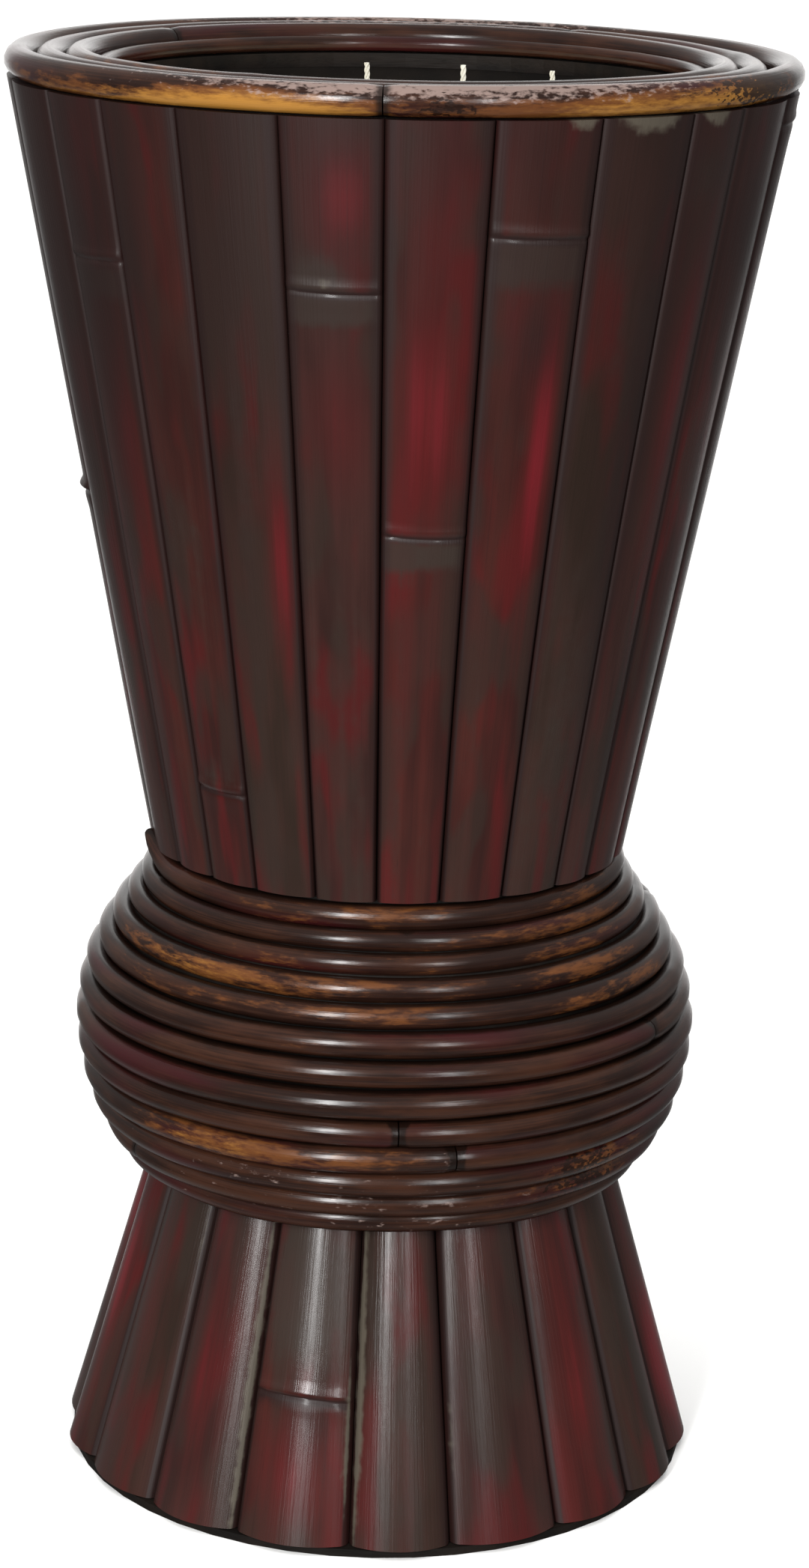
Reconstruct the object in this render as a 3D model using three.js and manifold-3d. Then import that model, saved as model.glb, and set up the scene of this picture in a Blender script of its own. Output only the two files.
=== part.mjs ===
// A table-top bamboo torch: a flared bowl of split bamboo over a bulging waist
// bound with rattan cane and a short splayed foot.  Cane hoops finish the rim.
// A dark tin of wax with three wicks stands on a shelf inside and lifts straight out.
// Millimetres, +Z up, the floor at Z = 0, the front towards -Y.

import * as THREE from 'three';
import { mergeVertices } from 'three/addons/utils/BufferGeometryUtils.js';
import Module from 'manifold-3d';

const wasm = await Module();
wasm.setup();

// ---------------------------------------------------------------- driving sizes

const overallHeight = 400;
const gap = 0.3;                    // air left between pieces that touch

const rimDiameter = 214;            // over the outer rim hoop
const outerHoopCane = 8;
const innerHoopCane = 7.6;
const lipCane = 4.4;

const bowlSlatCount = 24;
const bowlSlatThickness = 3.2;      // at a slat's edges
const bowlSlatCrown = 0.9;          // how far its middle stands proud of its edges
const bowlSlatSeam = 0.5;           // space between two slats
const bowlSeamTurn = -2;            // degrees from the front to the first seam
const bowlRimOverhang = 0.6;        // outer hoop beyond the slats' crowns

const neckHeight = 176.5;           // middle of the top waist hoop
const neckDiameter = 133.6;         // over the bowl slats where they end
const neckHoopProud = 2.4;          // top waist hoop beyond the bowl slats
const waistCane = 7.3;
const waistBulge = 15.8;            // height of the waist's arc over its chord
const ankleHeight = 92;             // middle of the bottom waist hoop
const ankleClearance = 1.8;         // bottom waist hoop to the foot slats

const footDiameter = 181.4;         // over the foot slats' crowns at the floor
const ankleDiameter = 130;          // over the foot slats' crowns at their top
const footSlatCount = 18;
const footSlatThickness = 3.2;
const footSlatCrown = 2.5;
const footSlatSeam = 0.9;
const footSeamTurn = -4.5;         // degrees from the front to the first seam

const baseFlange = 2.2;             // thickness of the base under the slats' ends
const baseSetback = 1.8;            // base edge inside the slats' crowns
const basePlugHeight = 12;
const coreSeatHeight = 15;          // how far the core reaches up inside the bowl slats
const coreHeelHeight = 12;          // how far it reaches down inside the foot slats
const coreShoulder = 1;             // height of the step from the core's neck to its seat

const rimBoardThickness = 9;
const rimBoardSetback = 0.5;        // rim board's hole behind the lip cane
const shelfThickness = 8;

const tinLiftClearance = 1.2;       // tin's bead to the lip cane, all round
const tinDepth = 60;
const tinTopBelowRim = 12;
const tinWall = 1;
const tinBead = 2.2;                // height of the rolled bead
const tinBeadProud = 1.8;           // bead beyond the wall
const tinDraft = 3.5;               // how much narrower the tin is at its floor

const waxBelowRim = 22;
const wickDiameter = 1.8;
const wickBelowRim = 4;
const wickSpread = 0.407;           // circle through the wicks, as a share of the tin's floor
const wickDrift = 0.208;            // how far that circle was set off the middle, likewise
const tabDiameter = 22;
const tabThickness = 0.6;
const tabNeckDiameter = 5;
const tabNeckHeight = 5;

// ---------------------------------------------------------------- smoothness

const roundSegments = 48;
const hoopSides = 8;
const smallSegments = 16;
const slatArcSteps = 4;

// ---------------------------------------------------------------- shared places

const degrees = Math.PI / 180;
const outerHoopRadius = (rimDiameter - outerHoopCane) / 2;
const secondHoopRadius = outerHoopRadius - (outerHoopCane + innerHoopCane) / 2 - gap;
const thirdHoopRadius = secondHoopRadius - innerHoopCane - gap;
const lipRadius = thirdHoopRadius - (innerHoopCane + lipCane) / 2 - gap;
const mouthRadius = lipRadius - lipCane / 2;

const bowlTop = overallHeight - outerHoopCane - gap;
const bowlBottom = neckHeight + waistCane / 2 + gap;
const footTop = ankleHeight;
const footBottom = baseFlange + gap;

const bowlShape = {
  count: bowlSlatCount,
  thickness: bowlSlatThickness,
  crown: bowlSlatCrown,
  seam: bowlSlatSeam,
  turn: bowlSeamTurn,
  bottom: bowlBottom,
  top: bowlTop,
  bottomRadius: neckDiameter / 2,
  topRadius: rimDiameter / 2 - bowlRimOverhang,
};
const footShape = {
  count: footSlatCount,
  thickness: footSlatThickness,
  crown: footSlatCrown,
  seam: footSlatSeam,
  turn: footSeamTurn,
  bottom: footBottom,
  top: footTop,
  bottomRadius: footDiameter / 2,
  topRadius: ankleDiameter / 2,
};

// Radius over the crowns of a ring of slats at height z.
function crownRadius(shape, z) {
  const along = (z - shape.bottom) / (shape.top - shape.bottom);
  return shape.bottomRadius + (shape.topRadius - shape.bottomRadius) * along;
}

// Radius of the round body that fits inside the flat backs of the slats at height z.
function fitInside(shape, z) {
  const edge = crownRadius(shape, z) - shape.crown - shape.thickness;
  return edge * Math.cos(Math.PI / shape.count) - gap;
}

// ---------------------------------------------------------------- shape helpers

// A solid of revolution from [radius, height] pairs, outer side listed upwards.
function turned(profile, segments = roundSegments) {
  const points = profile.map(([radius, height]) => new THREE.Vector2(radius, height));
  return new THREE.LatheGeometry(points, segments).rotateX(Math.PI / 2);
}

// The same for a ring whose outline closes on itself.
function turnedRing(profile, segments = roundSegments) {
  return turned([...profile, profile[0]], segments);
}

function hoop(radius, cane, height) {
  return new THREE.TorusGeometry(radius, cane / 2, hoopSides, roundSegments).translate(0, 0, height);
}

// A flat-backed strip of split bamboo with a crowned face, leaning as the cone leans.
function slat(shape, index) {
  const pitch = (2 * Math.PI) / shape.count;
  const narrowRadius = Math.min(shape.bottomRadius, shape.topRadius);
  const halfWidth = pitch / 2 - shape.seam / 2 / narrowRadius;
  const edgeRadius = shape.bottomRadius - shape.crown;
  const outline = new THREE.Shape();
  const backRadius = edgeRadius - shape.thickness;
  outline.moveTo(backRadius * Math.cos(halfWidth), -backRadius * Math.sin(halfWidth));
  for (let step = 0; step <= slatArcSteps; step += 1) {
    const across = (2 * step) / slatArcSteps - 1;
    const radius = edgeRadius + shape.crown * (1 - across * across);
    outline.lineTo(radius * Math.cos(across * halfWidth), radius * Math.sin(across * halfWidth));
  }
  outline.lineTo(backRadius * Math.cos(halfWidth), backRadius * Math.sin(halfWidth));

  const height = shape.top - shape.bottom;
  const strip = new THREE.ExtrudeGeometry(outline, { depth: height, bevelEnabled: false });
  const position = strip.attributes.position;
  for (let i = 0; i < position.count; i += 1) {
    const radius = Math.hypot(position.getX(i), position.getY(i));
    const lean = (shape.topRadius - shape.bottomRadius) * (position.getZ(i) / height);
    const stretch = (radius + lean) / radius;
    position.setX(i, position.getX(i) * stretch);
    position.setY(i, position.getY(i) * stretch);
  }
  const middle = shape.turn * degrees + pitch * (index + 0.5);
  return strip.rotateZ(middle - Math.PI / 2).translate(0, 0, shape.bottom);
}

// ---------------------------------------------------------------- boolean cut

function toSolid(geometry) {
  const bare = geometry.clone();
  bare.deleteAttribute('normal');
  bare.deleteAttribute('uv');
  const merged = mergeVertices(bare, 1e-4);
  return new wasm.Manifold(new wasm.Mesh({
    numProp: 3,
    vertProperties: new Float32Array(merged.attributes.position.array),
    triVerts: new Uint32Array(merged.index.array),
  }));
}

function toGeometry(solid) {
  const mesh = solid.getMesh();
  const geometry = new THREE.BufferGeometry();
  geometry.setAttribute('position', new THREE.BufferAttribute(mesh.vertProperties, 3));
  geometry.setIndex(new THREE.BufferAttribute(mesh.triVerts, 1));
  geometry.computeVertexNormals();
  return geometry;
}

// ---------------------------------------------------------------- finishes

const finishes = {
  plumBamboo: { color: 0x3f2a2a, roughness: 0.38, metalness: 0 },
  redBamboo: { color: 0x5a1d20, roughness: 0.36, metalness: 0 },
  umberBamboo: { color: 0x43382e, roughness: 0.42, metalness: 0 },
  cane: { color: 0x4a3024, roughness: 0.4, metalness: 0 },
  board: { color: 0x2c211a, roughness: 0.8, metalness: 0 },
  tin: { color: 0x1c1917, roughness: 0.45, metalness: 0.8 },
  wax: { color: 0xe9dfc6, roughness: 0.5, metalness: 0 },
  wick: { color: 0xd8d4c6, roughness: 0.9, metalness: 0 },
  tab: { color: 0xb4b6b8, roughness: 0.35, metalness: 1 },
};
const bowlStains = ['redBamboo', 'redBamboo', 'umberBamboo', 'plumBamboo'];
const footStains = ['umberBamboo', 'plumBamboo', 'redBamboo'];

const torch = new THREE.Group();
const vessel = new THREE.Group();
const candle = new THREE.Group();
torch.add(vessel, candle);

function addPiece(group, name, finish, geometry) {
  const mesh = new THREE.Mesh(geometry, new THREE.MeshStandardMaterial(finishes[finish]));
  mesh.name = name;
  group.add(mesh);
  return mesh;
}

// ---------------------------------------------------------------- rim

const canesBottom = bowlTop + gap;
addPiece(vessel, 'rim_hoop_outer', 'cane',
  hoop(outerHoopRadius, outerHoopCane, overallHeight - outerHoopCane / 2));
addPiece(vessel, 'rim_hoop_second', 'cane',
  hoop(secondHoopRadius, innerHoopCane, canesBottom + innerHoopCane / 2));
addPiece(vessel, 'rim_hoop_third', 'cane',
  hoop(thirdHoopRadius, innerHoopCane, canesBottom + innerHoopCane / 2));
addPiece(vessel, 'rim_lip_cane', 'cane',
  hoop(lipRadius, lipCane, canesBottom + lipCane / 2));

const rimBoardBottom = bowlTop - rimBoardThickness;
const rimBoardHole = mouthRadius + rimBoardSetback;
addPiece(vessel, 'rim_board', 'board', turnedRing([
  [rimBoardHole, rimBoardBottom],
  [fitInside(bowlShape, rimBoardBottom), rimBoardBottom],
  [fitInside(bowlShape, bowlTop), bowlTop],
  [rimBoardHole, bowlTop],
]));

// ---------------------------------------------------------------- bowl and foot slats

function addSlats(shape, prefix, stains) {
  for (let index = 0; index < shape.count; index += 1) {
    const number = String(index + 1).padStart(2, '0');
    addPiece(vessel, `${prefix}_${number}`, stains[index % stains.length], slat(shape, index));
  }
}
addSlats(bowlShape, 'bowl_slat', bowlStains);
addSlats(footShape, 'foot_slat', footStains);

// ---------------------------------------------------------------- waist

// The hoops' middles lie on an arc from the neck hoop to the ankle hoop.
const neckPoint = new THREE.Vector2(neckDiameter / 2 + neckHoopProud - waistCane / 2, neckHeight);
const anklePoint = new THREE.Vector2(
  crownRadius(footShape, ankleHeight) + ankleClearance + waistCane / 2,
  ankleHeight,
);
const chord = neckPoint.distanceTo(anklePoint);
const arcRadius = (chord * chord / 4 + waistBulge * waistBulge) / (2 * waistBulge);
const arcHalfAngle = Math.asin(chord / 2 / arcRadius);
const chordLean = Math.atan2(anklePoint.x - neckPoint.x, neckPoint.y - anklePoint.y);
const arcMiddle = neckPoint.clone().add(anklePoint).divideScalar(2)
  .sub(new THREE.Vector2(Math.cos(chordLean), Math.sin(chordLean)).multiplyScalar(arcRadius - waistBulge));
const waistTurns = Math.floor((2 * arcHalfAngle * arcRadius) / (waistCane + gap)) + 1;

// A point at a share of the way down the arc (0 neck, 1 ankle) and a distance off it.
function waistPoint(share, offset, aroundCane = 0) {
  const facing = chordLean + arcHalfAngle * (1 - 2 * share);
  const around = facing + aroundCane * degrees;
  return [
    arcMiddle.x + arcRadius * Math.cos(facing) + offset * Math.cos(around),
    arcMiddle.y + arcRadius * Math.sin(facing) + offset * Math.sin(around),
  ];
}

// The whole winding as one corrugated sleeve, one ridge to a turn of cane.
const ridge = [60, 20, -20, -60];
const sleeveOutside = [];
for (let turn = 0; turn < waistTurns; turn += 1) {
  const share = turn / (waistTurns - 1);
  ridge.forEach((angle) => sleeveOutside.push(waistPoint(share, waistCane / 2, angle)));
}
const endTurn = 100;
sleeveOutside.unshift(waistPoint(0, waistCane / 2, endTurn));
sleeveOutside.push(waistPoint(1, waistCane / 2, -endTurn));
const coreCurveSteps = 8;
const shares = Array.from({ length: coreCurveSteps + 1 }, (_, step) => step / coreCurveSteps);
const sleeveInside = shares.map((share) => waistPoint(share, -waistCane / 2));
addPiece(vessel, 'waist_cane_winding', 'cane',
  turnedRing([...sleeveInside, ...[...sleeveOutside].reverse()]));

// The turned core that the slats and the winding are fixed to.  Its neck passes inside
// the top hoop and inside the slats.
const coreCurve = shares.map((share) => waistPoint(share, -waistCane / 2 - gap)).reverse();
const coreTop = bowlBottom + coreSeatHeight;
const coreBottom = footTop - coreHeelHeight;
const coreNeck = Math.min(fitInside(bowlShape, bowlBottom), neckPoint.x - waistCane / 2 - gap);
const coreSeat = bowlBottom + coreShoulder;
addPiece(vessel, 'waist_core', 'board', turned([
  [0, coreBottom],
  [fitInside(footShape, coreBottom), coreBottom],
  [fitInside(footShape, footTop), footTop + gap],
  ...coreCurve,
  [coreNeck, bowlBottom],
  [fitInside(bowlShape, coreSeat), coreSeat],
  [fitInside(bowlShape, coreTop), coreTop],
  [0, coreTop],
]));

// ---------------------------------------------------------------- base

const baseRadius = crownRadius(footShape, footBottom) - baseSetback;
const basePlugTop = footBottom + basePlugHeight;
addPiece(vessel, 'base_board', 'board', turned([
  [0, 0],
  [baseRadius, 0],
  [baseRadius, baseFlange],
  [fitInside(footShape, footBottom), baseFlange],
  [fitInside(footShape, basePlugTop), basePlugTop],
  [0, basePlugTop],
]));

// ---------------------------------------------------------------- candle tin and its shelf

const tinTop = overallHeight - tinTopBelowRim;
const tinBottom = tinTop - tinDepth;
const tinBeadRadius = mouthRadius - tinLiftClearance;
const tinTopRadius = tinBeadRadius - tinBeadProud;
const tinBottomRadius = tinTopRadius - tinDraft;
const tinFloor = tinBottom + tinWall;

// Outside radius of the tin's tapered wall at height z.
function tinRadius(z) {
  return tinBottomRadius + (tinDraft * (z - tinBottom)) / tinDepth;
}

addPiece(candle, 'candle_tin', 'tin', turned([
  [0, tinBottom],
  [tinBottomRadius, tinBottom],
  [tinRadius(tinTop - tinBead), tinTop - tinBead],
  [tinBeadRadius, tinTop - tinBead],
  [tinBeadRadius, tinTop],
  [tinTopRadius - tinWall, tinTop],
  [tinRadius(tinFloor) - tinWall, tinFloor],
  [0, tinFloor],
]));

const shelfTop = tinBottom - gap;
const shelfBottom = shelfTop - shelfThickness;
addPiece(vessel, 'candle_shelf', 'board', turned([
  [0, shelfBottom],
  [fitInside(bowlShape, shelfBottom), shelfBottom],
  [fitInside(bowlShape, shelfTop), shelfTop],
  [0, shelfTop],
]));

// ---------------------------------------------------------------- wax, wicks and their tabs

const waxBottom = tinFloor + gap;
const waxTop = overallHeight - waxBelowRim;
const tabBottom = waxBottom;
const tabTop = tabBottom + tabThickness;
const neckTop = tabTop + tabNeckHeight;
const wickTop = overallHeight - wickBelowRim;
const wickRadius = wickDiameter / 2;

// One wick stands at the front of its circle, the other two behind it, and the circle
// sits to the right of the tin's middle.
const wickCircle = tinBottomRadius * wickSpread;
const wickPlaces = [-90, 30, 150].map((turn) => [
  tinBottomRadius * wickDrift + wickCircle * Math.cos(turn * degrees),
  wickCircle * Math.sin(turn * degrees),
]);

// The room that a wick and its tab take up in the wax, with the gap all round.
const wickRoom = turned([
  [0, tabBottom - gap],
  [tabDiameter / 2 + gap, tabBottom - gap],
  [tabDiameter / 2 + gap, tabTop + gap],
  [tabNeckDiameter / 2 + gap, tabTop + gap],
  [tabNeckDiameter / 2 + gap, neckTop + gap],
  [wickRadius + gap, neckTop + gap],
  [wickRadius + gap, waxTop + gap],
  [0, waxTop + gap],
], smallSegments);

let wax = toSolid(turned([
  [0, waxBottom],
  [tinRadius(waxBottom) - tinWall - gap, waxBottom],
  [tinRadius(waxTop) - tinWall - gap, waxTop],
  [0, waxTop],
]));
wickPlaces.forEach(([x, y]) => {
  wax = wax.subtract(toSolid(wickRoom.clone().translate(x, y, 0)));
});
addPiece(candle, 'candle_wax', 'wax', toGeometry(wax));

wickPlaces.forEach(([x, y], index) => {
  const number = index + 1;
  const wickLength = wickTop - tabBottom;
  const wick = new THREE.CylinderGeometry(wickRadius, wickRadius, wickLength, smallSegments / 2);
  wick.rotateX(Math.PI / 2).translate(0, 0, tabBottom + wickLength / 2);
  addPiece(candle, `wick_${number}`, 'wick', wick).position.set(x, y, 0);

  const boreRadius = wickRadius + gap;
  addPiece(candle, `wick_tab_${number}`, 'tab', turnedRing([
    [boreRadius, tabBottom],
    [tabDiameter / 2, tabBottom],
    [tabDiameter / 2, tabTop],
    [tabNeckDiameter / 2, tabTop],
    [tabNeckDiameter / 2, neckTop],
    [boreRadius, neckTop],
  ], smallSegments)).position.set(x, y, 0);
});

export default torch;
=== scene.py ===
# %% [markdown]
# # A bamboo torch for the garden table
# The real torch is a flared bowl of split bamboo, a waist bound with rattan cane and a
# short splayed foot, all stained in plum, red and umber and lacquered.  A tin of wax with
# three wicks stands inside the rim.  The CAD model already says where everything is and
# how the tin lifts out, so this script only builds the looks around that fixed frame:
# strips with joints and rounded edges, canes with butted ends, and finishes with grain.

# %% Load the frame
import math
import random

import bmesh
import bpy
from mathutils import Matrix, Vector, noise


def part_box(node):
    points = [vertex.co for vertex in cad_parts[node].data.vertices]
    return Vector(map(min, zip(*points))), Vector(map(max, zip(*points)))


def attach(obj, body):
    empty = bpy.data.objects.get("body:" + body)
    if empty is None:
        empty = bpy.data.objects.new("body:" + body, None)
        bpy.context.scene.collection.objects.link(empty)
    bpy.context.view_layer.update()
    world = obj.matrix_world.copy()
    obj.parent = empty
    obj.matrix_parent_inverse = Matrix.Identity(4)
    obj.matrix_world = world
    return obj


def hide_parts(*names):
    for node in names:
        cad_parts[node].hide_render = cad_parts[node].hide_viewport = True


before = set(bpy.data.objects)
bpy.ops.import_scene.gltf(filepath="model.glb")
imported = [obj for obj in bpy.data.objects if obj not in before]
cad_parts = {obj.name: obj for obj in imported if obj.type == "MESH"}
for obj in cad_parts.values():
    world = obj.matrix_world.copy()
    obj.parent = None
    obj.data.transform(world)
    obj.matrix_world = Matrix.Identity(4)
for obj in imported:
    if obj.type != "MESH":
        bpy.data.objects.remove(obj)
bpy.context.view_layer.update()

MM = 0.001


def show(thing):
    bpy.context.scene.collection.objects.link(thing)


# %% [markdown]
# ## The camera
# The torch is seen from a little over a metre away and from slightly above, so that the
# rim is a narrow ellipse with a view of the wicks.  A long lens keeps the bowl's sides
# nearly straight.  The camera is rolled by about one degree, so that the torch leans a
# little, as a hand-made thing on a table does.  The Standard view transform shows the
# stains in the colours they were mixed in.

# %% Camera
CAMERA_PLACE = Vector((4.3, -1068, 491)) * MM
CAMERA_DIP = 15.48
CAMERA_ROLL = 1.26
CAMERA_LENS = 90.2

camera_data = bpy.data.cameras.new("torch_camera")
camera_data.lens = CAMERA_LENS
camera = bpy.data.objects.new("torch_camera", camera_data)
upright = Matrix.Rotation(math.radians(90 - CAMERA_DIP), 4, "X")
rolled = Matrix.Rotation(math.radians(CAMERA_ROLL), 4, "Z")
camera.matrix_world = Matrix.Translation(CAMERA_PLACE) @ upright @ rolled
show(camera)
bpy.context.scene.camera = camera
bpy.context.scene.view_settings.view_transform = "Standard"
print("camera stands", round(CAMERA_PLACE.length, 2), "m from the middle of the base")

# %% [markdown]
# ## Shader maths as plain sums
# A procedural finish is mostly arithmetic on masks: more red here, less where the joint
# is dark.  Wiring dozens of Math nodes by hand hides that arithmetic.  `Shade` wraps one
# output socket and turns `+`, `-` and `*` into Math nodes, so a mask reads like the sum
# it is.  `Finish.add` is the one way any other node is made.

# %% Shade and Finish
class Shade:
    """One output in a material, which can be used in sums."""

    def __init__(self, finish, socket):
        self.finish = finish
        self.socket = socket

    def maths(self, operation, first, second):
        return self.finish.add("Math", {"operation": operation}, {0: first, 1: second})

    def __add__(self, other):
        return self.maths("ADD", self, other)

    def __radd__(self, other):
        return self.maths("ADD", other, self)

    def __sub__(self, other):
        return self.maths("SUBTRACT", self, other)

    def __rsub__(self, other):
        return self.maths("SUBTRACT", other, self)

    def __mul__(self, other):
        return self.maths("MULTIPLY", self, other)

    def __rmul__(self, other):
        return self.maths("MULTIPLY", other, self)

    def between(self, low, high):
        """0 below low, 1 above high, and a soft step from one to the other."""
        return self.finish.add(
            "MapRange",
            {"interpolation_type": "SMOOTHSTEP"},
            {"Value": self, "From Min": low, "From Max": high},
        )


class Finish:
    """A material, or the sky, under construction."""

    def __init__(self, name, kind="materials"):
        self.material = getattr(bpy.data, kind).new(name)
        self.material.use_nodes = True
        self.tree = self.material.node_tree
        self.tree.nodes.clear()

    def add(self, kind, settings=None, inputs=None, output=0):
        """A node: its settings first, then the values or links of its sockets."""
        made = self.tree.nodes.new("ShaderNode" + kind)
        for key, value in (settings or {}).items():
            setattr(made, key, value)
        for key, value in (inputs or {}).items():
            if isinstance(value, Shade):
                self.tree.links.new(value.socket, made.inputs[key])
            else:
                made.inputs[key].default_value = value
        return Shade(self, made.outputs[output]) if made.outputs else None

    def read(self, attribute, output="Fac"):
        return self.add("Attribute", {"attribute_name": attribute}, output=output)

    def object_place(self):
        return self.add("TexCoord", output="Object")

    def grain(self, place, stretch, detail=3, roughness=0.55):
        """Noise with so many blobs to a metre along each axis."""
        stretched = self.add("VectorMath", {"operation": "MULTIPLY"}, {0: place, 1: stretch})
        sockets = {"Vector": stretched, "Scale": 1, "Detail": detail, "Roughness": roughness}
        return self.add("TexNoise", {}, sockets)

    def mix(self, share, first, second):
        """The first colour where the share is 0 and the second where it is 1."""
        return self.add("Mix", {"data_type": "RGBA"}, {0: share, 6: first, 7: second}, output=2)

    def bump(self, height, depth):
        return self.add("Bump", {}, {"Height": height, "Distance": depth, "Strength": 1})

    def surface(self, sockets):
        shader = self.add("BsdfPrincipled", {}, sockets)
        self.add("OutputMaterial", {}, {"Surface": shader})
        return self.material


def paint(code):
    """A colour as it looks on a screen, '#rrggbb', turned into light by the sRGB curve."""
    screen = [int(code[i : i + 2], 16) / 255 for i in (1, 3, 5)]
    light = [c / 12.92 if c <= 0.04045 else ((c + 0.055) / 1.055) ** 2.4 for c in screen]
    return (*light, 1)


print("plum stain as light:", [round(c, 3) for c in paint("#3a2a2a")])

# %% [markdown]
# ## The floor
# A plain pale floor runs far behind the torch.  Reflections and bounces leave it out,
# because so much white would flood the dark strips from below.

# %% Floor
def floor_finish():
    finish = Finish("pale_floor")
    mottle = finish.grain(finish.object_place(), (9, 9, 9), detail=2)
    colour = finish.mix(mottle, paint("#f3f3f2"), paint("#f7f7f6"))
    return finish.surface({"Base Color": colour, "Roughness": 0.9, "Specular IOR Level": 0.1})


FLOOR_REACH = 30
FLOOR_DROP = 0.1 * MM

floor_mesh = bmesh.new()
bmesh.ops.create_grid(floor_mesh, x_segments=1, y_segments=1, size=FLOOR_REACH)
bmesh.ops.translate(floor_mesh, vec=(0, 0, -FLOOR_DROP), verts=floor_mesh.verts)
floor_data = bpy.data.meshes.new("floor")
floor_mesh.to_mesh(floor_data)
floor_mesh.free()
floor_data.materials.append(floor_finish())
floor = bpy.data.objects.new("floor", floor_data)
show(floor)
floor.visible_diffuse = False
floor.visible_glossy = False
print("the floor reaches", FLOOR_REACH, "m from the torch")

# %% [markdown]
# ## Soft light
# Dark lacquer looks like whatever it mirrors, so the light is mostly about reflections.
# The sky is dim in front, which keeps the stain deep, and bright in a strip behind, which
# draws a light line down every rounded edge.  Two upright soft boxes beside the camera
# lay the highlights down the canes and the foot.  A broad overhead sun lights the colours
# and the top of the rim, and reflections leave it out too, or it would lay a grey veil
# over the lacquer.

# %% Sky and lamps
EVEN_LIGHT = 0.14
LIGHT_ABOVE = 0.4
LIGHT_BEHIND = 1.2
LIGHT_BELOW = 0.25


def studio_sky():
    """A dim room that is brighter above, brightest behind, and a little lit from below."""
    sky = Finish("studio_sky", "worlds")
    toward = sky.add("TexCoord", output="Generated")
    up = sky.add("SeparateXYZ", {}, {0: toward}, output="Z")
    back = sky.add("SeparateXYZ", {}, {0: toward}, output="Y")
    above = up.between(-0.45, 0.75)
    behind = back.between(0.86, 0.985)
    below = 1 - up.between(-0.7, -0.42)
    light = EVEN_LIGHT + above * LIGHT_ABOVE + behind * LIGHT_BEHIND + below * LIGHT_BELOW
    background = sky.add("Background", {}, {"Color": (1, 0.99, 0.98, 1), "Strength": light})
    sky.add("OutputWorld", {}, {"Surface": background})
    return sky.material


bpy.context.scene.world = studio_sky()

BOX_AIM = Vector((0, 0, 0.2))
BOX_RISE = math.radians(16)
BOX_DISTANCE = 1.5
BOX_HEIGHT = 0.68


def soft_box(name, turn, width, power):
    """An upright area lamp that looks at the waist from so many degrees round."""
    facing = math.radians(turn)
    level = math.cos(BOX_RISE)
    away = Vector((math.sin(facing) * level, -math.cos(facing) * level, math.sin(BOX_RISE)))
    data = bpy.data.lights.new(name, "AREA")
    data.shape = "RECTANGLE"
    data.size = width
    data.size_y = BOX_HEIGHT
    data.energy = power
    lamp = bpy.data.objects.new(name, data)
    turned = (-away).to_track_quat("-Z", "Y").to_matrix().to_4x4()
    lamp.matrix_world = Matrix.Translation(BOX_AIM + away * BOX_DISTANCE) @ turned
    show(lamp)


soft_box("left_box", turn=-19, width=0.15, power=26)
soft_box("right_box", turn=23, width=0.1, power=8)

OVERHEAD_POWER = 2.4
OVERHEAD_SPREAD = math.radians(75)
OVERHEAD_TILT = math.radians(-12)
overhead_data = bpy.data.lights.new("overhead", "SUN")
overhead_data.energy = OVERHEAD_POWER
overhead_data.angle = OVERHEAD_SPREAD
overhead = bpy.data.objects.new("overhead", overhead_data)
overhead.matrix_world = Matrix.Rotation(OVERHEAD_TILT, 4, "X")
overhead.visible_glossy = False
show(overhead)

# %% [markdown]
# ## From a bmesh to a finished piece
# Every piece ends the same way: smooth shading except across real corners, one
# material, the body that carries it, and the CAD nodes that it stands for hidden.

# %% Put a piece in place
SHARP = math.radians(38)


def all_of(shape):
    return shape.verts[:] + shape.edges[:] + shape.faces[:]


def place_piece(shape, name, finish, body, nodes):
    """A bmesh made an object that rides a body and stands for CAD nodes."""
    for face in shape.faces:
        face.smooth = True
    for edge in shape.edges:
        edge.smooth = len(edge.link_faces) != 2 or edge.calc_face_angle() < SHARP
    data = bpy.data.meshes.new(name)
    shape.to_mesh(data)
    shape.free()
    data.materials.append(finish)
    piece = bpy.data.objects.new(name, data)
    show(piece)
    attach(piece, body)
    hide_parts(*nodes)


print("corners sharper than", round(math.degrees(SHARP)), "degrees stay crisp")
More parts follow.
